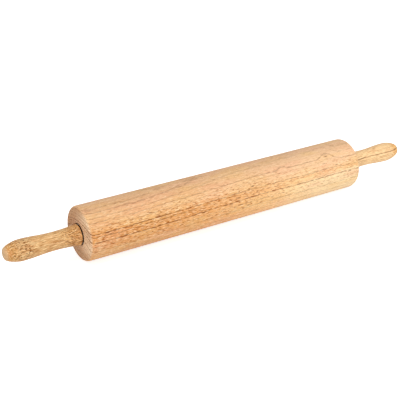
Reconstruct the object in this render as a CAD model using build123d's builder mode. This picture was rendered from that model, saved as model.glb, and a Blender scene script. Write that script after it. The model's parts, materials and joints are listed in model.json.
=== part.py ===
"""Rolling pin: a wooden barrel that spins in two ball bearings on a steel rod between two handles.

The rod lies along X, and the origin is the barrel's centre, on the rod's centreline. Lengths are in
millimetres. At each end, places along the rod are distances from the barrel's end face: they grow
outwards, towards the handle's tip, and are negative inside the barrel.
"""

import os
from math import cos, radians, sin, tan

from build123d import *

# Barrel, the wooden roller
barrel_length = 457.2
barrel_diameter = 76.2
barrel_edge_radius = 5.5
rod_bore_clearance = 4.0
bearing_depth = 3.5
recess_mouth_chamfer = 0.4

# Ball bearing, a deep groove one of 10 by 30 by 9
bearing_bore = 10.0
bearing_diameter = 30.0
bearing_width = 9.0
inner_shoulder_diameter = 17.0
outer_shoulder_diameter = 23.2
race_edge_chamfer = 0.5
ball_diameter = 4.762
ball_count = 8
groove_clearance = 0.04

# Rubber seals that close both sides of a bearing
seal_thickness = 0.6
seal_inset = 0.2
seal_seat_depth = 0.7
seal_running_gap = 0.15

# Cage that spaces the balls
cage_thickness = 1.4
cage_end_clearance = 0.25
cage_pocket_clearance = 0.12

# Steel rod, thicker between the bearings and threaded at its ends
rod_shoulder_height = 1.0
rod_end_chamfer = 0.8
thread_diameter = 8.0
thread_reach = 34.0
journal_setback = 0.3

# Spacer collar between a bearing's inner race and the handle
handle_gap = 0.8
collar_edge_inset = 0.3
collar_bore_clearance = 0.1

# Threaded insert in the root of a handle, with a slot for driving it in
insert_diameter = 14.0
insert_length = 25.0
insert_slot_width = 1.6
insert_slot_depth = 2.0
insert_edge_chamfer = 0.6

# Turned handle, with its waist and belly placed by their distances from its root
handle_length = 105.2
handle_root_diameter = 29.0
handle_root_edge_radius = 1.6
handle_waist_diameter = 24.8
handle_waist_distance = 36.7
handle_belly_diameter = 29.0
handle_belly_distance = 81.7
nose_flat_diameter = 8.8
nose_edge_radius = 5.5
nose_taper_angle = 30.0
rod_hole_clearance = 0.5
rod_hole_spare_depth = 5.0
drill_point_angle = 118.0

# Where the control points of the handle's curves stand, as shares of each curve's length and rise
root_curve_start_share = 0.33
root_curve_height_share = 0.35
root_curve_end_share = 0.6
belly_curve_share = 0.42
nose_curve_start_share = 0.22
nose_curve_end_share = 0.35

# Radial gap between pieces pushed together
seat_clearance = 0.02

# Radii and places that follow from the sizes above
half_length = barrel_length / 2
journal_radius = bearing_bore / 2
rod_radius = journal_radius + rod_shoulder_height
thread_radius = thread_diameter / 2
bearing_radius = bearing_diameter / 2
inner_shoulder_radius = inner_shoulder_diameter / 2
outer_shoulder_radius = outer_shoulder_diameter / 2
pitch_radius = (inner_shoulder_radius + outer_shoulder_radius) / 2
ball_radius = ball_diameter / 2
seal_seat_radius = outer_shoulder_radius + seal_seat_depth
insert_radius = insert_diameter / 2
seat_depth = bearing_depth + bearing_width
bearing_centre = -bearing_depth - bearing_width / 2
handle_root = handle_gap
insert_end = handle_root + insert_length
rod_hole_radius = thread_radius + rod_hole_clearance
rod_hole_end = handle_root + thread_reach + rod_hole_spare_depth


def end_section(side):
    """A plane through the rod at one end: X runs outwards from the end face, Y out from the rod."""
    return Plane(origin=(side * half_length, 0, 0), x_dir=(side, 0, 0), z_dir=(0, 0, 1))


def across(side, place):
    """A plane square to the rod, at a place measured outwards from the barrel's end face."""
    return Plane(origin=(side * (half_length + place), 0, 0), z_dir=(side, 0, 0))


def ring(start, end, inner_radius, outer_radius, mode=Mode.ADD):
    """The section of a ring round the rod, between two places along it."""
    with Locations(((start + end) / 2, (inner_radius + outer_radius) / 2)):
        Rectangle(end - start, outer_radius - inner_radius, mode=mode)


def save(piece, name):
    """Labels a finished piece and writes it to its own file."""
    piece.part.label = name
    export_step(piece.part, f"parts/{name}.step")


def make_barrel():
    """The wooden roller, bored for the rod, with a bearing's seat sunk into each end."""
    with BuildPart() as barrel:
        with BuildSketch(Plane.XY) as section:
            ring(-half_length, half_length, rod_radius + rod_bore_clearance, barrel_diameter / 2)
            fillet(section.vertices().group_by(Axis.Y)[-1], radius=barrel_edge_radius)
            ring(-half_length, seat_depth - half_length, 0, bearing_radius, mode=Mode.SUBTRACT)
            ring(half_length - seat_depth, half_length, 0, bearing_radius, mode=Mode.SUBTRACT)
            for end in (0, -1):
                mouth = section.vertices().group_by(Axis.X)[end].sort_by(Axis.Y)[0]
                chamfer(mouth, length=recess_mouth_chamfer)
        revolve(axis=Axis.X)
    save(barrel, "barrel")


def make_axle_rod():
    """The steel rod: its shoulders stop the inner races, and its ends screw into the handles."""
    shoulder = half_length - seat_depth
    journal_end = half_length + handle_root - journal_setback
    rod_end = half_length + handle_root + thread_reach
    with BuildPart() as axle_rod:
        with BuildSketch(Plane.XY):
            ring(-shoulder, shoulder, 0, rod_radius)
            ring(-journal_end, journal_end, 0, journal_radius - seat_clearance)
            ring(-rod_end, rod_end, 0, thread_radius - seat_clearance)
        revolve(axis=Axis.X)
        flats = axle_rod.faces().sort_by(Axis.X)
        chamfer(flats[0].edges() + flats[-1].edges(), length=rod_end_chamfer)
    save(axle_rod, "axle_rod")


def cut_ball_groove():
    """Cuts the balls' round groove from a race's section."""
    with Locations((bearing_centre, pitch_radius)):
        Circle(ball_radius + groove_clearance, mode=Mode.SUBTRACT)


def make_outer_race(side, name):
    """A bearing's outer race, pressed into the barrel, with a seat for a seal in each side."""
    inner_side = -seat_depth
    outer_side = -bearing_depth
    seal_seat_width = seal_inset + seal_thickness
    with BuildPart() as outer_race:
        with BuildSketch(end_section(side)) as section:
            ring(inner_side, outer_side, outer_shoulder_radius, bearing_radius - seat_clearance)
            chamfer(section.vertices().group_by(Axis.Y)[-1], length=race_edge_chamfer)
            cut_ball_groove()
            ring(inner_side, inner_side + seal_seat_width, 0, seal_seat_radius, mode=Mode.SUBTRACT)
            ring(outer_side - seal_seat_width, outer_side, 0, seal_seat_radius, mode=Mode.SUBTRACT)
        revolve(axis=Axis.X)
    save(outer_race, name)


def make_inner_race(side, name):
    """A bearing's inner race, pushed onto the rod as far as its shoulder."""
    with BuildPart() as inner_race:
        with BuildSketch(end_section(side)) as section:
            ring(-seat_depth, -bearing_depth, journal_radius, inner_shoulder_radius)
            chamfer(section.vertices().group_by(Axis.Y)[0], length=race_edge_chamfer)
            cut_ball_groove()
        revolve(axis=Axis.X)
    save(inner_race, name)


def make_balls(side, name):
    """A bearing's balls, evenly spaced round the rod."""
    with BuildPart() as balls:
        with Locations(across(side, bearing_centre)):
            with PolarLocations(pitch_radius, ball_count):
                Sphere(ball_radius)
    save(balls, name)


def make_cage(side, name):
    """The ring that spaces the balls, drilled through from outside for each of them."""
    half_width = bearing_width / 2 - seal_inset - seal_thickness - cage_end_clearance
    inner_radius = pitch_radius - cage_thickness / 2
    outer_radius = pitch_radius + cage_thickness / 2
    pocket_radius = ball_radius + cage_pocket_clearance
    with BuildPart() as cage:
        with BuildSketch(end_section(side)):
            ring(bearing_centre - half_width, bearing_centre + half_width, inner_radius, outer_radius)
        revolve(axis=Axis.X)
        with Locations(across(side, bearing_centre)):
            with PolarLocations(pitch_radius, ball_count):
                Cylinder(pocket_radius, ball_diameter, rotation=(0, 90, 0), mode=Mode.SUBTRACT)
    save(cage, name)


def make_seal(side, start, name):
    """A rubber washer held in the outer race, just clear of the inner race."""
    with BuildPart() as seal:
        with BuildSketch(end_section(side)):
            inner_radius = inner_shoulder_radius + seal_running_gap
            ring(start, start + seal_thickness, inner_radius, seal_seat_radius - seat_clearance)
        revolve(axis=Axis.X)
    save(seal, name)


def make_collar(side, name):
    """The spacer between the inner race and the handle, which keeps the handle off the barrel."""
    with BuildPart() as collar:
        with BuildSketch(end_section(side)):
            inner_radius = journal_radius + collar_bore_clearance
            outer_radius = inner_shoulder_radius - collar_edge_inset
            ring(-bearing_depth, handle_root, inner_radius, outer_radius)
        revolve(axis=Axis.X)
    save(collar, name)


def make_insert(side, name):
    """The metal sleeve glued into a handle's root, which takes the rod's thread."""
    with BuildPart() as insert:
        with BuildSketch(end_section(side)) as section:
            ring(handle_root, insert_end, thread_radius, insert_radius - seat_clearance)
            chamfer(section.vertices().group_by(Axis.Y)[-1], length=insert_edge_chamfer)
        revolve(axis=Axis.X)
        with BuildSketch(across(side, handle_root)):
            Rectangle(insert_slot_width, insert_diameter)
        extrude(amount=insert_slot_depth, mode=Mode.SUBTRACT)
    save(insert, name)


def make_handle(side, name):
    """A turned handle: a flared root, a narrow waist, a fuller belly and a blunt, tapered nose."""
    root_radius = handle_root_diameter / 2
    waist_radius = handle_waist_diameter / 2
    belly_radius = handle_belly_diameter / 2
    flare_start = handle_root + handle_root_edge_radius
    waist = handle_root + handle_waist_distance
    belly = handle_root + handle_belly_distance
    tip = handle_root + handle_length
    flare_length = waist - flare_start
    flare_rise = root_radius - waist_radius
    swell_length = belly - waist
    taper = radians(nose_taper_angle)
    flat_radius = nose_flat_diameter / 2
    nose_edge = tip - nose_edge_radius * (1 - sin(taper))
    edge_height = flat_radius + nose_edge_radius * cos(taper)
    nose_length = nose_edge - belly
    nose_pull = nose_curve_end_share * nose_length
    hole_tip = rod_hole_end + rod_hole_radius / tan(radians(drill_point_angle / 2))
    with BuildPart() as handle:
        with BuildSketch(end_section(side)):
            with BuildLine():
                Polyline(
                    (tip, 0),
                    (hole_tip, 0),
                    (rod_hole_end, rod_hole_radius),
                    (insert_end, rod_hole_radius),
                    (insert_end, insert_radius),
                    (handle_root, insert_radius),
                    (handle_root, root_radius - handle_root_edge_radius),
                )
                RadiusArc(
                    (handle_root, root_radius - handle_root_edge_radius),
                    (flare_start, root_radius),
                    handle_root_edge_radius,
                )
                Bezier(
                    (flare_start, root_radius),
                    (
                        flare_start + root_curve_start_share * flare_length,
                        waist_radius + root_curve_height_share * flare_rise,
                    ),
                    (flare_start + root_curve_end_share * flare_length, waist_radius),
                    (waist, waist_radius),
                )
                Bezier(
                    (waist, waist_radius),
                    (waist + belly_curve_share * swell_length, waist_radius),
                    (belly - belly_curve_share * swell_length, belly_radius),
                    (belly, belly_radius),
                )
                Bezier(
                    (belly, belly_radius),
                    (belly + nose_curve_start_share * nose_length, belly_radius),
                    (nose_edge - nose_pull * cos(taper), edge_height + nose_pull * sin(taper)),
                    (nose_edge, edge_height),
                )
                RadiusArc((nose_edge, edge_height), (tip, flat_radius), nose_edge_radius)
                Line((tip, flat_radius), (tip, 0))
            make_face()
        revolve(axis=Axis.X)
    save(handle, name)


os.makedirs("parts", exist_ok=True)
make_barrel()
make_axle_rod()
for side, end_name in ((-1, "left"), (1, "right")):
    make_outer_race(side, f"{end_name}_bearing_outer_race")
    make_inner_race(side, f"{end_name}_bearing_inner_race")
    make_balls(side, f"{end_name}_bearing_balls")
    make_cage(side, f"{end_name}_bearing_cage")
    make_seal(side, -bearing_depth - seal_inset - seal_thickness, f"{end_name}_bearing_outer_seal")
    make_seal(side, -seat_depth + seal_inset, f"{end_name}_bearing_inner_seal")
    make_collar(side, f"{end_name}_spacer_collar")
    make_insert(side, f"{end_name}_threaded_insert")
    make_handle(side, f"{end_name}_handle")
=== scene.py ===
"""Looks of the rolling pin: turned wood, fine bearings and a white studio.

Lengths are in metres. The woods' and metals' patterns are laid out in millimetres. The near end is
the one at the lowest X.
"""

import json
from functools import cached_property
from math import cos, degrees, pi, radians, sin

import bpy
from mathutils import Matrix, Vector


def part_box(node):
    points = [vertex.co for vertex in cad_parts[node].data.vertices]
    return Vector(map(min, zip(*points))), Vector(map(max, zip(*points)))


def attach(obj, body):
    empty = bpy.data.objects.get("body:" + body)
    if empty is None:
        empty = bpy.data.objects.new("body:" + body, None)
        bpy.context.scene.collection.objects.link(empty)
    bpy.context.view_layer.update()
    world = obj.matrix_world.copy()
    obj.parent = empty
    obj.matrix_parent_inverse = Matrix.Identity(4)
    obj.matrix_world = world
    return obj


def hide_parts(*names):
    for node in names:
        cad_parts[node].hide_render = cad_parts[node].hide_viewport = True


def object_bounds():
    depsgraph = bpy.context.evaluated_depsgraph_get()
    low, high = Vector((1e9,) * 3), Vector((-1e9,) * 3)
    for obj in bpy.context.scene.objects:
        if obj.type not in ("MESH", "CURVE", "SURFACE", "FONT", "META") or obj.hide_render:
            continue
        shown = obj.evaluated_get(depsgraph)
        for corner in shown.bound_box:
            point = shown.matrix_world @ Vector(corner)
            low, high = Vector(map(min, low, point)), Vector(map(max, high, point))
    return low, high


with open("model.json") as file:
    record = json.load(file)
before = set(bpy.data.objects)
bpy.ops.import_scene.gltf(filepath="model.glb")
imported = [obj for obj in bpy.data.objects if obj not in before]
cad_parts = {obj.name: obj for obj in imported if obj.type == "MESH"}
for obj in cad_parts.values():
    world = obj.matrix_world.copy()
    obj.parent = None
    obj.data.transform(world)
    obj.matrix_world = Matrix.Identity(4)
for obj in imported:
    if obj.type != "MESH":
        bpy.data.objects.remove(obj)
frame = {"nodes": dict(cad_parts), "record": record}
cad_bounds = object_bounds()

MM = 0.001

# The photograph's camera, worked out from the object's outlines
FRAME_PIXELS = 400
FOCAL_PIXELS = 972.58
SENSOR_WIDTH = 36.0
CAMERA_PLACE = Vector((-0.7191, -1.0514, 0.5749))
CAMERA_TURN = radians(32.94)
CAMERA_DIP = radians(24.56)

# Sizes of the barrel, from the frame
barrel_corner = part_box("barrel")[1]
BARREL_HALF_LENGTH = barrel_corner.x
BARREL_RADIUS = barrel_corner.z

# Sizes of the turned pieces that the frame doesn't give, as in the solids
BARREL_EDGE = 5.5 * MM
ROD_BORE_RADIUS = 10.0 * MM
RECESS_RADIUS = 15.0 * MM
RECESS_DEPTH = 12.5 * MM
MOUTH_CHAMFER = 0.4 * MM
HANDLE_ROOT_RADIUS = 14.5 * MM
HANDLE_ROOT_EDGE = 1.6 * MM
WAIST_RADIUS = 12.4 * MM
WAIST_PLACE = 36.7 * MM
BELLY_RADIUS = 14.5 * MM
BELLY_PLACE = 81.7 * MM
NOSE_FLAT_RADIUS = 4.4 * MM
NOSE_EDGE = 5.5 * MM
NOSE_TAPER = radians(30.0)
INSERT_RADIUS = 7.0 * MM
INSERT_LENGTH = 25.0 * MM

# How a handle's curves leave and reach their ends, as shares of their length and rise
ROOT_CURVE = ((0.33, 0.35), (0.6, 0.0))
BELLY_CURVE_SHARE = 0.42
NOSE_CURVE_SHARES = (0.22, 0.35)

# Fineness of the turned meshes: faces round, and rows along each stretch of an outline
BARREL_FACETS = 256
HANDLE_FACETS = 128
FACE_STEPS = 8
EDGE_STEPS = 10
SIDE_STEPS = 60
ROOT_STEPS = 8
FLARE_STEPS = 28
SWELL_STEPS = 32
TAPER_STEPS = 24
TIP_STEPS = 14
FLAT_STEPS = 4
SHARP_ANGLE = radians(30.0)
ON_AXIS = 0.01 * MM


def linear(red, green, blue):
    """A colour given as it shows on a screen, from 0 to 255, as the linear one that shaders take."""
    channels = []
    for value in (red, green, blue):
        share = value / 255
        channels.append(share / 12.92 if share <= 0.04045 else ((share + 0.055) / 1.055) ** 2.4)
    return (*channels, 1.0)


# Shader nodes


class Tree:
    """A node tree, with a short way to add nodes and link them."""

    # Sockets of a Mix node that mixes colours, whose names its other kinds share
    MIX_SHARE, MIX_FIRST, MIX_SECOND, MIX_RESULT = 0, 6, 7, 2

    def __init__(self, tree):
        self.tree = tree

    def node(self, kind, inputs, **settings):
        """Adds a node. Inputs are given by socket name or number, as a value or a linked socket."""
        made = self.tree.nodes.new("ShaderNode" + kind)
        for key, value in settings.items():
            setattr(made, key, value)
        self.fill(made, inputs)
        return made.outputs[0]

    def fill(self, node, inputs):
        """Sets a node's inputs, or links them."""
        for key, value in inputs.items():
            if isinstance(value, bpy.types.NodeSocket):
                self.tree.links.new(value, node.inputs[key])
            else:
                node.inputs[key].default_value = value

    def math(self, operation, *values):
        return self.node("Math", dict(enumerate(values)), operation=operation)

    def product(self, *shares):
        total = shares[0]
        for share in shares[1:]:
            total = self.math("MULTIPLY", total, share)
        return total

    def between(self, value, low, high, out_low=0.0, out_high=1.0):
        """Maps a value's range from low to high smoothly onto another range."""
        inputs = {"Value": value, "From Min": low, "From Max": high,
                  "To Min": out_low, "To Max": out_high}
        return self.node("MapRange", inputs, interpolation_type="SMOOTHSTEP")

    def mix(self, share, first, second):
        """Mixes two colours."""
        made = self.tree.nodes.new("ShaderNodeMix")
        made.data_type = "RGBA"
        self.fill(made, {self.MIX_SHARE: share, self.MIX_FIRST: first, self.MIX_SECOND: second})
        return made.outputs[self.MIX_RESULT]


class Material(Tree):
    """A new material's node tree, whose patterns are laid out in millimetres."""

    def __init__(self, name):
        self.material = bpy.data.materials.new(name)
        self.material.use_nodes = True
        super().__init__(self.material.node_tree)
        self.shader = self.tree.nodes["Principled BSDF"]

    @cached_property
    def place(self):
        """The point being shaded, in the piece's own frame."""
        coordinates = self.tree.nodes.new("ShaderNodeTexCoord").outputs["Object"]
        return self.node("VectorMath", {0: coordinates, "Scale": 1 / MM}, operation="SCALE")

    def pattern(self, along, across, detail, roughness=0.5, shift=(0.0, 0.0, 0.0), place=None):
        """Noise whose marks are that long along X and that wide across it."""
        scale = (1 / along, 1 / across, 1 / across)
        inputs = {0: self.place if place is None else place, 1: scale, 2: shift}
        stretched = self.node("VectorMath", inputs, operation="MULTIPLY_ADD")
        inputs = {"Vector": stretched, "Scale": 1.0, "Detail": detail, "Roughness": roughness}
        return self.node("TexNoise", inputs)

    def bump(self, height, distance, strength):
        inputs = {"Height": height, "Distance": distance, "Strength": strength}
        self.tree.links.new(self.node("Bump", inputs), self.shader.inputs["Normal"])


# Wood

# Lines where growth rings end on the barrel: radius from the heart at the near and the far end,
# half width, darkness near and far
BARREL_RINGS = ((74.0, 74.3, 0.8, 1.0, 0.8), (83.5, 82.3, 0.75, 0.95, 0.5),
                (92.9, 91.3, 0.6, 0.4, 0.42), (80.3, 80.3, 0.7, 0.65, 0.1),
                (88.7, 88.9, 0.5, 0.35, 0.15), (96.2, 96.5, 0.5, 0.3, 0.2),
                (99.4, 99.4, 0.5, 0.35, 0.25), (101.1, 101.1, 0.4, 0.3, 0.3),
                (68.1, 68.5, 0.6, 0.3, 0.3), (61.0, 62.0, 0.7, 0.4, 0.4),
                (51.5, 51.0, 0.7, 0.4, 0.4), (39.8, 38.0, 0.8, 0.4, 0.4),
                (31.0, 29.5, 0.8, 0.4, 0.4))
# Where the rings change from their near radius to their far one
RING_DRIFT = (-110.0, 0.0)
# Range of the noise that narrows and widens a line, and the line's least and greatest share of its
# own width
BREAK_RANGE = (0.35, 0.65)
BARREL_LINE_WIDTHS = (0.35, 1.5)
HANDLE_LINE_WIDTHS = (0.6, 1.4)
# The heart of the tree lies below the barrel and climbs a little along it
HEART_ACROSS = -2.0
HEART_CLIMB = (-170.0, 60.0)
HEART_HEIGHTS = (-64.0, -59.0)
# How far the grain wanders either way
BARREL_WANDER = 0.9
HANDLE_WANDER = 1.3
# Grain pushed aside by a pin knot: place along, angle up from the front, reach, push
GRAIN_KNOTS = ((171.0, 60.0, 21.0, 2.6), (88.0, 58.0, 16.0, 1.5))
KNOT_CORE = 0.0
# The outer layers dip again past the last knot
LAYER_DIP = 3.2
DIP_ALONG = (176.0, 200.0)
DIP_RADII = (74.0, 92.0)
# Size of one of the plainest dark flecks, and the share of it that is full
MARK_SIZE = (4.2, 1.15)
MARK_CORE = 0.3
# The plainest dark flecks: place along, angle up from the front, darkness
BARREL_MARKS = ((-210, 1, 0.6), (-204, 17, 0.9), (-201, 13, 0.7), (-177, 3, 0.8), (-160, 3, 0.7),
                (-155, 16, 0.5), (-137, 33, 0.6), (-127, 3, 0.9), (-128, 21, 0.8), (-115, 22, 0.5),
                (-56, 4, 1.0), (-19, 6, 0.8), (-10, 6, 0.8), (2, 14, 0.6), (1, 8, 0.8), (7, -2, 0.7),
                (20, -8, 0.6), (30, 31, 1.0), (22, 26, 0.6), (135, 8, 0.7), (171, 54, 0.9),
                (162, 38, 0.5), (184, 29, 0.7), (207, 7, 0.7))

# Patterns in the barrel's wood: length and width of a mark, detail, roughness, shift
SLOW_WANDER = (90.0, 42.0, 1.0)
QUICK_WANDER = (12.0, 4.0, 2.0, 0.6, (3.1, 1.7, 9.2))
BREAKS = (9.0, 3.0, 1.0, 0.5, (5.0, 2.0, 1.0))
PATCHES = (60.0, 14.0, 1.0, 0.5, (4.0, 4.0, 1.0))
VEINS = (140.0, 2.0, 1.5, 0.6, (2.0, 6.0, 3.0))
FIBRES = (30.0, 0.8, 2.0, 0.6)
FLECKS = (6.5, 0.95, 1.0, 0.5, (7.0, 3.0, 4.0))
GLEAMS = (6.5, 0.9, 1.0, 0.5, (1.0, 8.0, 2.0))
PORES = (1.6, 0.25, 1.0, 0.5, (2.0, 5.0, 8.0))
END_DOTS = (3.0, 1.3, 1.0, 0.5, (6.0, 1.0, 4.0))
# Years follow one another outwards, about this many to a millimetre
YEARS = {"Scale": 0.35, "Detail": 2.0}
# Range of the noise over which a dark fleck comes in, and how far it is raised in the band and lines
FLECK_RANGE = (0.56, 0.65)
BUSY_RISE = 0.035

# Where the barrel's wood and its painted light and shade change, by place along, height or growth
# radius: start, full change, and for some the strength at both
SIDE_HEIGHTS = (24.0, 10.0)
FAR_ALONG = (-120.0, 140.0)
FAR_LOW_ALONG = (40.0, 190.0)
FAR_LOW_RADII = (80.9, 73.6)
NEAR_UNDER_HEIGHTS = (0.0, -18.0)
NEAR_UNDER_ALONG = (-20.0, -160.0)
TOP_HEIGHTS = (30.0, 37.5, 0.0, 0.6)
BAND_INNER_RADII = (73.1, 74.8)
BAND_OUTER_RADII = (79.8, 84.0, 1.0, 0.0)
BAND_ALONG = (30.0, 150.0, 1.0, 0.2)
LIVELY_HEIGHTS = (32.0, 14.0, 0.6, 1.0)
LIVELY_ALONG = (20.0, 120.0, 1.1, 0.75)
GRAINY_INNER_RADII = (57.0, 66.0, 0.62, 1.0)
GRAINY_OUTER_RADII = (94.0, 88.0, 0.68, 1.0)
# The same for its ends: depth in from an end, radius from the rod, and the height, slopes across and up,
# and range of the part with painted light
END_SKIN = (2.6, 0.4)
RECESS_INWARD = (0.2, 1.2)
RECESS_RADII = (15.8, 15.3)
LIT_HEIGHT = 5.0
LIT_SLOPES = (-0.8, 0.6)
LIT_RANGE = (-24.0, 8.0)
# Heights of the painted shadow low down on the ends
END_UNDER_HEIGHTS = (-12.0, -28.0, 0.0, 0.7)

# How strongly a colour is laid on where it shows most
NEAR_UNDER_SHADE_STRENGTH = 0.6
BAND_STRENGTH = 0.4
END_STRENGTH = 0.95
CUT_RING_STRENGTH = 0.9
DARK_FLECK_STRENGTH = 0.72
RING_STRENGTH = 0.97
MARK_STRENGTH = 0.85

# Colours of the barrel's wood, some of them with painted light and shade
NEAR_TOP = linear(236, 186, 134)
NEAR_SIDE = linear(234, 168, 100)
# The far end's colours are paler partly in the wood and partly as painted light and sheen
FAR_TOP = linear(244, 203, 160)
FAR_SIDE = linear(255, 213, 155)
# Paler still low down at the far end: partly paler wood, partly painted light and sheen
FAR_LOW_PALE_AND_SHEEN = linear(255, 230, 184)
# Painted shade under the near half of the barrel
NEAR_UNDER_SHADE = linear(221, 173, 123)
# Painted shade along the barrel's top
TOP_SHADE = linear(228, 186, 146)
PINK_PATCH = linear(238, 180, 144)
YELLOW_PATCH = linear(238, 196, 130)
BAND = linear(226, 156, 90)
YEAR = linear(214, 150, 92)
DARK_VEIN = linear(210, 140, 80)
PALE_VEIN = linear(255, 224, 178)
FIBRE = linear(206, 136, 66)
PALE_FLECK = linear(255, 230, 186)
DARK_FLECK = linear(166, 84, 8)
PORE = linear(156, 92, 30)
RING = linear(124, 60, 12)
MARK = linear(112, 58, 24)
# The ends' greyer, pinker end grain in a shaded and a lit copy, and a painted shadow low down
END_SHADED = linear(180, 133, 92)
END_LIT = linear(255, 229, 194)
END_UNDER_SHADOW = linear(150, 112, 84)
CUT_PORE = linear(156, 104, 64)
CUT_GLEAM = linear(255, 236, 204)
CUT_YEAR = linear(164, 112, 78)
CUT_RING = linear(122, 78, 46)
# Painted shade in the recesses in the barrel's ends
RECESS_SHADE = linear(44, 17, 6)

# Finish of all the wood, and for the barrel and the handles their roughness, how strongly their
# relief shows and how much of it is pits
DRY_SHINE = 0.2
RELIEF_DEPTH = 0.12 * MM
BARREL_FINISH = (0.6, 0.25, 0.8)
HANDLE_FINISH = (0.55, 0.5, 0.6)


class Wood(Material):
    """A wood that lies along X, with the colour that is built up in layers."""

    def __init__(self, name):
        super().__init__(name)
        self.x, self.y, self.z = self.split()
        self.colour = None

    def split(self):
        made = self.tree.nodes.new("ShaderNodeSeparateXYZ")
        self.tree.links.new(self.place, made.inputs[0])
        return made.outputs[:3]

    def lay(self, share, colour):
        """Lays a colour over the one built up so far."""
        self.colour = self.mix(share, self.colour, colour)

    def lay_patterns(self, rows, *where):
        """Lays on each row's pattern, from its start to its full share, in a strength and colour."""
        for pattern, start, full, strength, colour in rows:
            self.lay(self.product(self.between(pattern, start, full), *where, strength), colour)

    def wandered(self, value, noise, reach):
        """A value that a noise, which runs about a half, shifts either way by its reach at most."""
        shift = self.product(self.math("SUBTRACT", noise, 0.5), 2 * reach)
        return self.math("ADD", value, shift)

    def distance(self, centre_y, centre_z):
        """Distance from a line along X."""
        across = self.math("POWER", self.math("SUBTRACT", self.y, centre_y), 2.0)
        above = self.math("POWER", self.math("SUBTRACT", self.z, centre_z), 2.0)
        return self.math("SQRT", self.math("ADD", across, above))

    def nearness(self, centre, along, across, core):
        """One in the core of a spindle that lies along X, falling to nought at its outside."""
        scale = (1 / along, 1 / across, 1 / across)
        here = self.node("VectorMath", {0: self.place, 1: scale}, operation="MULTIPLY")
        there = tuple(value * share for value, share in zip(centre, scale))
        away = self.node("VectorMath", {0: here, 1: there}, operation="DISTANCE").node.outputs["Value"]
        return self.between(away, core, 1.0, 1.0, 0.0)

    def ring_lines(self, height, drift, rings, breaks, widths):
        """Dark lines where growth rings end, now wider and now narrower."""
        width = self.between(breaks, *BREAK_RANGE, *widths)
        total = 0.0
        for near, far, half_width, near_dark, far_dark in rings:
            middle = self.math("MULTIPLY_ADD", drift, far - near, near)
            away = self.math("ABSOLUTE", self.math("SUBTRACT", height, middle))
            line = self.between(away, 0.0, self.product(half_width, width), 1.0, 0.0)
            darkness = self.math("MULTIPLY_ADD", drift, far_dark - near_dark, near_dark)
            total = self.math("MAXIMUM", total, self.product(line, darkness))
        return total

    def finished(self, fibres, pits, roughness, relief_strength, pit_share):
        """Gives the shader its colour and finish, with a relief of raised fibres and sunken pits."""
        inputs = {"Base Color": self.colour, "Roughness": roughness, "Specular IOR Level": DRY_SHINE}
        self.fill(self.shader, inputs)
        relief = self.math("SUBTRACT", fibres, self.product(pits, pit_share))
        self.bump(relief, RELIEF_DEPTH, relief_strength)
        return self.material


def on_barrel(along, angle):
    """A point on the barrel's side, in millimetres, at an angle in degrees up from its front."""
    radius = BARREL_RADIUS / MM
    return (along, -radius * cos(radians(angle)), radius * sin(radians(angle)))


def growth_radius(wood):
    """How far out from the tree's heart a point grew, with the grain's wander and its knots."""
    heart_height = wood.between(wood.x, *HEART_CLIMB, *HEART_HEIGHTS)
    radius = wood.distance(HEART_ACROSS, heart_height)
    for wander in (SLOW_WANDER, QUICK_WANDER):
        radius = wood.wandered(radius, wood.pattern(*wander), BARREL_WANDER)
    dip = wood.product(wood.between(wood.x, *DIP_ALONG), wood.between(radius, *DIP_RADII), LAYER_DIP)
    radius = wood.math("ADD", radius, dip)
    for along, angle, reach, push in GRAIN_KNOTS:
        knot = wood.nearness(on_barrel(along, angle), reach, reach, KNOT_CORE)
        radius = wood.math("SUBTRACT", radius, wood.product(knot, push))
    return radius


def barrel_ground(wood, radius, band):
    """The barrel's colour under its grain: paler towards the far end, partly wood and partly painted
    light and sheen; painted shade on top and under the near half.
    """
    side = wood.between(wood.z, *SIDE_HEIGHTS)
    near = wood.mix(side, NEAR_TOP, NEAR_SIDE)
    far = wood.mix(side, FAR_TOP, FAR_SIDE)
    # Paler towards the far end, partly as wood and partly as painted light and sheen
    wood.colour = wood.mix(wood.between(wood.x, *FAR_ALONG), near, far)
    far_low_pale_and_sheen = wood.product(wood.between(wood.x, *FAR_LOW_ALONG), wood.between(radius, *FAR_LOW_RADII))
    wood.lay(far_low_pale_and_sheen, FAR_LOW_PALE_AND_SHEEN)
    # Painted shade: greyer wood low down on the near half
    near_under_shade = wood.product(wood.between(wood.z, *NEAR_UNDER_HEIGHTS),
                              wood.between(wood.x, *NEAR_UNDER_ALONG), NEAR_UNDER_SHADE_STRENGTH)
    wood.lay(near_under_shade, NEAR_UNDER_SHADE)
    # Painted shade: darker, greyer wood along the top
    wood.lay(wood.between(wood.z, *TOP_HEIGHTS), TOP_SHADE)
    patches = wood.pattern(*PATCHES)
    wood.lay_patterns(((patches, 0.5, 0.7, 0.4, PINK_PATCH), (patches, 0.5, 0.3, 0.4, YELLOW_PATCH)))
    wood.lay(wood.product(band, BAND_STRENGTH), BAND)


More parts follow.
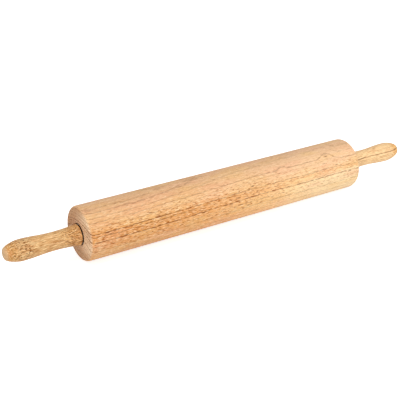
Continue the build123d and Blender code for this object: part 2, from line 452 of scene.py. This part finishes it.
def barrel_ends(wood, years, lines):
    """The barrel's two ends, greyer and pinker, with painted light and shade across them and a painted
    shadow low down, cut pores, and painted shade in its recesses.
    """
    inward = wood.math("SUBTRACT", BARREL_HALF_LENGTH / MM, wood.math("ABSOLUTE", wood.x))
    end = wood.between(inward, *END_SKIN)
    # Painted light and shade across each end: lit at the front and middle height, shaded towards the
    # back, top and bottom
    off_height = wood.math("ABSOLUTE", wood.math("SUBTRACT", wood.z, LIT_HEIGHT))
    across, up = LIT_SLOPES
    pale = wood.math("SUBTRACT", wood.product(wood.y, across), wood.product(off_height, up))
    face = wood.mix(wood.between(pale, *LIT_RANGE), END_SHADED, END_LIT)
    # Painted shadow on each end's lower part
    face = wood.mix(wood.between(wood.z, *END_UNDER_HEIGHTS), face, END_UNDER_SHADOW)
    wood.lay(wood.product(end, END_STRENGTH), face)
    dots = wood.pattern(*END_DOTS)
    grain = ((dots, 0.52, 0.66, 0.5, CUT_PORE), (dots, 0.44, 0.3, 0.5, CUT_GLEAM),
             (years, 0.5, 0.6, 0.4, CUT_YEAR))
    wood.lay_patterns(grain, end)
    wood.lay(wood.product(end, lines, CUT_RING_STRENGTH), CUT_RING)
    # Painted shade on the recesses' walls
    hollow = wood.between(wood.distance(0.0, 0.0), *RECESS_RADII)
    wood.lay(wood.product(hollow, wood.between(inward, *RECESS_INWARD)), RECESS_SHADE)


def barrel_grain(wood, years, fibres):
    """Years, veins, fibres and pale flecks, which show less on top and at the far end."""
    veins = wood.pattern(*VEINS)
    gleams = wood.pattern(*GLEAMS)
    lively = wood.product(wood.between(wood.z, *LIVELY_HEIGHTS), wood.between(wood.x, *LIVELY_ALONG))
    grain = ((years, 0.4, 0.65, 0.1, YEAR), (veins, 0.5, 0.7, 0.3, DARK_VEIN),
             (veins, 0.5, 0.3, 0.25, PALE_VEIN), (fibres, 0.4, 0.7, 0.35, FIBRE),
             (gleams, 0.55, 0.65, 0.55, PALE_FLECK))
    wood.lay_patterns(grain, lively)
    return lively


def barrel_flecks(wood, radius, lively, band, lines):
    """Dark flecks, most of them in the band and on the lines, faintest in the inner and outer wood."""
    busy = wood.product(wood.math("MAXIMUM", band, lines), BUSY_RISE)
    flecks = wood.between(wood.math("ADD", wood.pattern(*FLECKS), busy), *FLECK_RANGE)
    grainy = wood.product(wood.between(radius, *GRAINY_INNER_RADII),
                          wood.between(radius, *GRAINY_OUTER_RADII))
    wood.lay(wood.product(flecks, grainy, lively, DARK_FLECK_STRENGTH), DARK_FLECK)
    return flecks


def barrel_marks(wood):
    """The plainest dark flecks, each in its own place."""
    marks = 0.0
    for along, angle, darkness in BARREL_MARKS:
        mark = wood.nearness(on_barrel(along, angle), *MARK_SIZE, MARK_CORE)
        marks = wood.math("MAXIMUM", marks, wood.product(mark, darkness))
    wood.lay(wood.product(marks, MARK_STRENGTH), MARK)


def beech():
    """The barrel's pale, pinkish wood, with its rings, flecks and pores worked out in depth."""
    wood = Wood("beech")
    radius = growth_radius(wood)
    drift = wood.between(wood.x, *RING_DRIFT)
    lines = wood.ring_lines(radius, drift, BARREL_RINGS, wood.pattern(*BREAKS), BARREL_LINE_WIDTHS)
    band = wood.product(wood.between(radius, *BAND_INNER_RADII), wood.between(radius, *BAND_OUTER_RADII),
                        wood.between(wood.x, *BAND_ALONG))
    years = wood.node("TexNoise", {"W": radius, **YEARS}, noise_dimensions="1D")
    fibres = wood.pattern(*FIBRES)

    barrel_ground(wood, radius, band)
    barrel_ends(wood, years, lines)
    lively = barrel_grain(wood, years, fibres)
    flecks = barrel_flecks(wood, radius, lively, band, lines)
    wood.lay_patterns(((wood.pattern(*PORES), 0.6, 0.72, 0.5, PORE),))
    wood.lay(wood.product(lines, RING_STRENGTH), RING)
    barrel_marks(wood)
    return wood.finished(fibres, flecks, *BARREL_FINISH)


# Colours of the handles' wood at the root, along the middle and at the nose; the near handle's darker
# root is painted shade next to the barrel
NEAR_HANDLE = (linear(199, 145, 91), linear(228, 181, 125), linear(216, 160, 94))
FAR_HANDLE = (linear(250, 212, 164), linear(252, 214, 162), linear(246, 192, 116))
# Colours laid over them in both handles
BLOTCH = linear(226, 168, 118)
HANDLE_FIBRE = linear(188, 126, 62)
DARK_STREAK = linear(166, 110, 54)
PALE_STREAK = linear(255, 226, 170)
PALE_STRIPE = linear(246, 194, 122)
DARK_STRIPE = linear(138, 82, 32)
NOSE_DOT = linear(126, 70, 22)
BLUSH = linear(218, 138, 72)
CUT_TIP = linear(216, 186, 146)
HANDLE_PORE = linear(150, 100, 52)
LAYER = linear(130, 78, 34)

# Height of a growth layer at the root and at the nose, half width, darkness at the root and the nose
NEAR_LAYERS = ((8.6, 10.5, 0.4, 0.3, 0.5), (6.4, 7.4, 0.3, 0.4, 0.4), (3.0, 3.4, 0.4, 0.5, 0.3),
               (0.4, 1.2, 0.3, 0.3, 0.7), (-3.2, -3.0, 0.4, 0.4, 0.5), (-7.0, -8.0, 0.5, 0.5, 0.4))
FAR_LAYERS = ((4.6, 5.4, 1.15, 1.0, 1.0), (0.4, 1.4, 0.4, 0.6, 0.5), (-1.9, -1.4, 0.4, 0.5, 0.4),
              (7.8, 10.6, 0.35, 0.4, 0.5), (-5.6, -6.0, 0.5, 0.5, 0.5), (-9.0, -10.0, 0.4, 0.4, 0.4))
# Each handle: node, side, material, shift of its patterns, colours, layers, and how strong its
# streaks and its dots are
HANDLES = (("left_handle", -1, "near_wood", (0.0, 0.0, 0.0), NEAR_HANDLE, NEAR_LAYERS, 0.85, 0.95),
           ("right_handle", 1, "far_wood", (11.0, 5.0, 3.0), FAR_HANDLE, FAR_LAYERS, 0.55, 0.1))

# Patterns in the handles' wood: length and width of a mark, detail, roughness
HANDLE_SWERVES = (26.0, 9.0, 2.0, 0.5)
HANDLE_BREAKS = (7.0, 2.5, 1.0, 0.5)
HANDLE_FIBRES = (32.0, 1.0, 2.0, 0.6)
STREAKS = (10.0, 0.85, 1.0, 0.5)
STRIPES = (5.5, 0.95, 1.0, 0.5)
STRIPE_SLANT = radians(-28.0)
DOTS = (2.6, 1.25, 0.5, 0.5)
HANDLE_PORES = (1.6, 0.25, 1.0, 0.5)

# Where the handles' wood changes, out from the barrel's end: start, full change, and for some the
# strength at both
ROOT_ZONE = (24.0, 10.0)
NOSE_ZONE = (84.0, 98.0)
LAYER_DRIFT = (20.0, 84.0)
STRIPE_ZONE = (44.0, 18.0)
DOT_ZONE = (64.0, 76.0)
DOT_FADE = (100.0, 94.0, 0.3, 1.0)
BLUSH_ZONE = (96.0, 100.0)
TIP_ZONE = (101.2, 104.6, 0.0, 0.6)

# Range of the noise over which a dot comes in, and how strongly dots and layers are laid on
DOT_RANGE = (0.54, 0.68)
DOT_STRENGTH = 0.95
LAYER_STRENGTH = 0.9


def handle_streaks(wood, swerves, fibres, shift, strength):
    """Blotches, fibres and short streaks, all along a handle."""
    streaks = wood.pattern(*STREAKS, shift)
    wood.lay_patterns(((swerves, 0.45, 0.7, 0.4, BLOTCH),
                       (fibres, 0.4, 0.68, 0.6 * strength, HANDLE_FIBRE),
                       (streaks, 0.53, 0.66, 0.85 * strength, DARK_STREAK),
                       (streaks, 0.47, 0.34, 0.85 * strength, PALE_STREAK)))


def handle_stripes(wood, out, shift, strength):
    """Slanting stripes near a handle's root."""
    inputs = {"Vector": wood.place, "Angle": STRIPE_SLANT}
    slant = wood.node("VectorRotate", inputs, rotation_type="Y_AXIS")
    stripes = wood.pattern(*STRIPES, shift, slant)
    grain = ((stripes, 0.48, 0.37, 0.6 * strength, PALE_STRIPE),
             (stripes, 0.52, 0.62, 0.8 * strength, DARK_STRIPE))
    wood.lay_patterns(grain, wood.between(out, *STRIPE_ZONE))


def handle_dots(wood, out, shift, strength):
    """Pores cut across, which show as dots towards a handle's nose."""
    dots = wood.product(wood.between(wood.pattern(*DOTS, shift), *DOT_RANGE),
                        wood.between(out, *DOT_ZONE), wood.between(out, *DOT_FADE))
    wood.lay(wood.product(dots, DOT_STRENGTH * strength), NOSE_DOT)
    return dots


def handle_wood(name, shift, colours, layers, streaky, dotted):
    """A handle's yellower wood, with coarser, darker pores that turn to dots towards its nose."""
    wood = Wood(name)
    out = wood.math("SUBTRACT", wood.math("ABSOLUTE", wood.x), BARREL_HALF_LENGTH / MM)
    swerves = wood.pattern(*HANDLE_SWERVES, shift)
    fibres = wood.pattern(*HANDLE_FIBRES, shift)
    height = wood.wandered(wood.z, swerves, HANDLE_WANDER)
    breaks = wood.pattern(*HANDLE_BREAKS, shift)
    drift = wood.between(out, *LAYER_DRIFT)
    lines = wood.ring_lines(height, drift, layers, breaks, HANDLE_LINE_WIDTHS)

    root, middle, nose = colours
    # Towards its root the near handle darkens with painted shade next to the barrel
    wood.colour = wood.mix(wood.between(out, *ROOT_ZONE), middle, root)
    wood.lay(wood.between(out, *NOSE_ZONE), nose)
    handle_streaks(wood, swerves, fibres, shift, streaky)
    handle_stripes(wood, out, shift, dotted)
    dots = handle_dots(wood, out, shift, dotted)
    wood.lay_patterns(((swerves, 0.42, 0.56, 0.35, BLUSH),), wood.between(out, *BLUSH_ZONE))
    wood.lay(wood.between(out, *TIP_ZONE), CUT_TIP)
    wood.lay_patterns(((wood.pattern(*HANDLE_PORES, shift), 0.6, 0.72, 0.5, HANDLE_PORE),))
    wood.lay(wood.product(lines, LAYER_STRENGTH), LAYER)
    return wood.finished(fibres, dots, *HANDLE_FINISH)


# Metal and rubber

# Each metal: colour as it shows on a screen, roughness, and a turning mark's width
METALS = {
    "rod_steel": ((190, 190, 192), 0.35, 0.3),
    # Darker than bare steel: painted shade in the gap round each handle's root
    "bearing_steel": ((140, 137, 134), 0.42, 0.2),
    "ball_steel": ((222, 222, 224), 0.08, 0.5),
    "cage_brass": ((214, 176, 96), 0.35, 0.3),
    # Darker than bare steel: painted shade in the gap round each handle's root
    "collar_steel": ((112, 104, 96), 0.5, 0.3),
    "insert_brass": ((218, 184, 104), 0.35, 0.3),
}
# Turning marks: length in widths, detail, range of their noise with the strength at both, share of
# the metal's colour, depth, and how strongly they show in relief
TURNING_STRETCH = 12.0
TURNING_DETAIL = 3.0
TURNING_RANGE = (0.3, 0.7, 0.0, 0.25)
TURNING_SHADE = 0.8
TURNING_DEPTH = 0.01 * MM
TURNING_RELIEF = 0.3
# Uneven shine: length and width of a cloud and its detail, range of the noise, and the least and
# greatest roughness as shares of the metal's own
CLOUDS = (9.0, 9.0, 2.0)
CLOUD_RANGE = (0.3, 0.7)
CLOUD_SHARES = (0.8, 1.2)

# Rubber and the flour on it: colours, size and detail of the dust, range of its noise with the
# strength at both, depth, and how strongly it shows in relief
BLACK_RUBBER = linear(18, 10, 8)
FLOUR_DUST = linear(42, 28, 20)
DUST = (1.2, 1.2, 4.0)
DUST_RANGE = (0.45, 0.75, 0.0, 0.3)
DUST_DEPTH = 0.02 * MM
DUST_RELIEF = 0.4


def metal(name, colour, roughness, mark_width):
    """A machined metal with fine turning marks and a little unevenness in its shine."""
    made = Material(name)
    marks = made.pattern(mark_width, TURNING_STRETCH * mark_width, TURNING_DETAIL)
    clouds = made.pattern(*CLOUDS)
    darker = linear(*(TURNING_SHADE * value for value in colour))
    tint = made.mix(made.between(marks, *TURNING_RANGE), linear(*colour), darker)
    shine = made.between(clouds, *CLOUD_RANGE, *(share * roughness for share in CLOUD_SHARES))
    made.fill(made.shader, {"Base Color": tint, "Metallic": 1.0, "Roughness": shine})
    made.bump(marks, TURNING_DEPTH, TURNING_RELIEF)
    return made.material


def rubber():
    """The seals' matt black rubber, with a trace of flour."""
    made = Material("seal_rubber")
    dust = made.pattern(*DUST)
    tint = made.mix(made.between(dust, *DUST_RANGE), BLACK_RUBBER, FLOUR_DUST)
    made.fill(made.shader, {"Base Color": tint, "Roughness": 0.8, "Specular IOR Level": 0.2})
    made.bump(dust, DUST_DEPTH, DUST_RELIEF)
    return made.material


# Turned pieces


def arc(centre, radius, start, end, steps):
    """Points on an arc in the plane of the rod and a radius, between two angles in degrees."""
    points = []
    for step in range(steps + 1):
        angle = radians(start + (end - start) * step / steps)
        points.append((centre[0] + radius * cos(angle), centre[1] + radius * sin(angle)))
    return points


def curve(start, first, second, end, steps):
    """Points on a smooth curve that leaves start towards first and reaches end from second."""
    points = []
    for step in range(1, steps + 1):
        t = step / steps
        weights = ((1 - t) ** 3, 3 * (1 - t) ** 2 * t, 3 * (1 - t) * t**2, t**3)
        corners = (start, first, second, end)
        points.append(tuple(sum(w * c[i] for w, c in zip(weights, corners)) for i in (0, 1)))
    return points


def straight(start, end, steps):
    """Points on a straight run, without its first one."""
    points = []
    for step in range(1, steps + 1):
        points.append(tuple(start[i] + (end[i] - start[i]) * step / steps for i in (0, 1)))
    return points


def mirrored(points):
    """The same points at the other end, in the order that carries an outline on."""
    return [(-along, radius) for along, radius in reversed(points)]


def turned_rows(outline, around):
    """Rows of points round the X axis, and for each row the number of each of its points."""
    vertices, rows = [], []
    for along, radius in outline:
        if radius < ON_AXIS:
            rows.append([len(vertices)] * around)
            vertices.append((along, 0.0, 0.0))
        else:
            rows.append(list(range(len(vertices), len(vertices) + around)))
            for step in range(around):
                angle = 2 * pi * step / around
                vertices.append((along, -radius * cos(angle), radius * sin(angle)))
    return vertices, rows


def turned(name, outline, around, material):
    """Turns an outline of (along, radius) points about the X axis into a smooth closed mesh."""
    vertices, rows = turned_rows(outline, around)
    faces = []
    for here, there in zip(rows, rows[1:] + rows[:1]):
        for step in range(around):
            following = (step + 1) % around
            corners = (here[step], here[following], there[following], there[step])
            kept = list(dict.fromkeys(corners))
            if len(kept) > 2:
                faces.append(kept)
    mesh = bpy.data.meshes.new(name)
    mesh.from_pydata(vertices, [], faces)
    mesh.update()
    mesh.polygons.foreach_set("use_smooth", [True] * len(mesh.polygons))
    mesh.set_sharp_from_angle(angle=SHARP_ANGLE)
    mesh.materials.append(material)
    piece = bpy.data.objects.new(name, mesh)
    bpy.context.scene.collection.objects.link(piece)
    return piece


def barrel_outline():
    """The barrel's section: round edges, a chamfered recess in each end, and the bore."""
    half, radius = BARREL_HALF_LENGTH, BARREL_RADIUS
    right = [(half, RECESS_RADIUS + MOUTH_CHAMFER)]
    right += straight(right[-1], (half, radius - BARREL_EDGE), FACE_STEPS)
    right += arc((half - BARREL_EDGE, radius - BARREL_EDGE), BARREL_EDGE, 0, 90, EDGE_STEPS)[1:]
    left = mirrored(right)
    bottom = -half + RECESS_DEPTH
    recess = [(-half + MOUTH_CHAMFER, RECESS_RADIUS), (bottom, RECESS_RADIUS), (bottom, ROD_BORE_RADIUS)]
    side = straight(right[-1], left[0], SIDE_STEPS)[:-1]
    return right + side + left + recess + mirrored(recess)


def handle_outline(name, side):
    """A handle's section, from the insert's hole in its root to the tip of its nose."""
    low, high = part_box(name)
    root = low.x if side > 0 else -high.x
    tip = high.x if side > 0 else -low.x
    flare = (root + HANDLE_ROOT_EDGE, HANDLE_ROOT_RADIUS)
    waist = (root + WAIST_PLACE, WAIST_RADIUS)
    belly = (root + BELLY_PLACE, BELLY_RADIUS)
    edge = (tip - NOSE_EDGE * (1 - sin(NOSE_TAPER)), NOSE_FLAT_RADIUS + NOSE_EDGE * cos(NOSE_TAPER))

    length, rise = waist[0] - flare[0], flare[1] - waist[1]
    flare_pulls = [(flare[0] + share * length, waist[1] + height * rise) for share, height in ROOT_CURVE]
    swell = BELLY_CURVE_SHARE * (belly[0] - waist[0])
    swell_pulls = [(waist[0] + swell, waist[1]), (belly[0] - swell, belly[1])]
    leave, reach = (share * (edge[0] - belly[0]) for share in NOSE_CURVE_SHARES)
    nose_pulls = [(belly[0] + leave, belly[1]),
                  (edge[0] - reach * cos(NOSE_TAPER), edge[1] + reach * sin(NOSE_TAPER))]

    bottom = root + INSERT_LENGTH
    inner = HANDLE_ROOT_RADIUS - HANDLE_ROOT_EDGE
    points = [(bottom, 0.0), (bottom, INSERT_RADIUS), (root, INSERT_RADIUS), (root, inner)]
    points += arc((flare[0], inner), HANDLE_ROOT_EDGE, 180, 90, ROOT_STEPS)[1:]
    points += curve(flare, *flare_pulls, waist, FLARE_STEPS)
    points += curve(waist, *swell_pulls, belly, SWELL_STEPS)
    points += curve(belly, *nose_pulls, edge, TAPER_STEPS)
    nose_angle = 90 - degrees(NOSE_TAPER)
    points += arc((tip - NOSE_EDGE, NOSE_FLAT_RADIUS), NOSE_EDGE, nose_angle, 0, TIP_STEPS)[1:]
    points += straight((tip, NOSE_FLAT_RADIUS), (tip, 0.0), FLAT_STEPS)
    return [(side * along, radius) for along, radius in points]


# Studio

WHITE = (1.0, 1.0, 1.0, 1.0)
FLOOR_SIZE = 30.0
FLOOR_GREY = (0.8, 0.8, 0.8, 1.0)
FLOOR_GLOW = 0.7
WORLD_LIGHT = 0.42
# The large lamps stand at this distance, turned this far left of the front
LAMP_DISTANCE = 5.0
LAMP_TURN = radians(40.0)


def seen_white(made):
    """One for the rays that show the studio itself: the camera's, and those mirrored or let through."""
    rays = made.tree.nodes.new("ShaderNodeLightPath").outputs
    share = rays["Is Camera Ray"]
    for name in ("Is Glossy Ray", "Is Transmission Ray"):
        share = made.math("MAXIMUM", share, rays[name])
    return share


def studio_floor():
    """A white floor that shows white to the camera and keeps the shadow of what stands on it."""
    bpy.ops.mesh.primitive_plane_add(size=FLOOR_SIZE, location=(0.0, 0.0, cad_bounds[0][2]))
    floor = bpy.context.object
    floor.name = "floor"
    made = Material("floor_white")
    made.fill(made.shader, {"Base Color": FLOOR_GREY, "Roughness": 0.9, "Specular IOR Level": 0.0,
                            "Emission Color": WHITE,
                            "Emission Strength": made.product(seen_white(made), FLOOR_GLOW)})
    floor.data.materials.append(made.material)


def studio_world():
    """Even white light from all round, which shows plain white to the camera."""
    world = bpy.data.worlds.new("studio")
    world.use_nodes = True
    bpy.context.scene.world = world
    made = Tree(world.node_tree)
    strength = made.node("MapRange", {"Value": seen_white(made), "To Min": WORLD_LIGHT, "To Max": 1.0})
    made.fill(made.tree.nodes["Background"], {"Strength": strength, "Color": WHITE})


def toward(height):
    """The place of a lamp left of the front, at an angle of height above the floor."""
    out = LAMP_DISTANCE * cos(radians(height))
    return (-out * sin(LAMP_TURN), -out * cos(LAMP_TURN), LAMP_DISTANCE * sin(radians(height)))


def lamp(name, place, size, power):
    """A square soft box aimed at the middle of the object."""
    data = bpy.data.lights.new(name, "AREA")
    data.size = size
    data.energy = power
    light = bpy.data.objects.new(name, data)
    light.location = place
    light.visible_camera = False
    light.rotation_euler = (-Vector(place)).to_track_quat("-Z", "Y").to_euler()
    bpy.context.scene.collection.objects.link(light)


def camera():
    data = bpy.data.cameras.new("camera")
    data.sensor_width = SENSOR_WIDTH
    data.lens = SENSOR_WIDTH * FOCAL_PIXELS / FRAME_PIXELS
    eye = bpy.data.objects.new("camera", data)
    eye.location = CAMERA_PLACE
    eye.rotation_euler = (pi / 2 - CAMERA_DIP, 0.0, -CAMERA_TURN)
    bpy.context.scene.collection.objects.link(eye)
    bpy.context.scene.camera = eye


bpy.context.scene.view_settings.view_transform = "Standard"
camera()
studio_floor()
studio_world()
lamp("top_light", place=toward(75.0), size=2.5, power=93.0)
lamp("front_light", place=toward(15.0), size=2.5, power=104.0)
lamp("side_light", place=(0.7, -0.7, 0.15), size=0.5, power=2.2)

barrel = turned("turned_barrel", barrel_outline(), BARREL_FACETS, beech())
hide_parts("barrel")
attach(barrel, "barrel_set")
for node, side, *look in HANDLES:
    handle = turned(f"turned_{node}", handle_outline(node, side), HANDLE_FACETS, handle_wood(*look))
    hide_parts(node)
    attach(handle, "handle_set")

finishes = {name: metal(name, *look) for name, look in METALS.items()}
finishes["seal_rubber"] = rubber()
for part in frame["record"]["subparts"]:
    if part["material_slot"] in finishes:
        shown = frame["nodes"][part["node"]].data
        shown.materials.clear()
        shown.materials.append(finishes[part["material_slot"]])
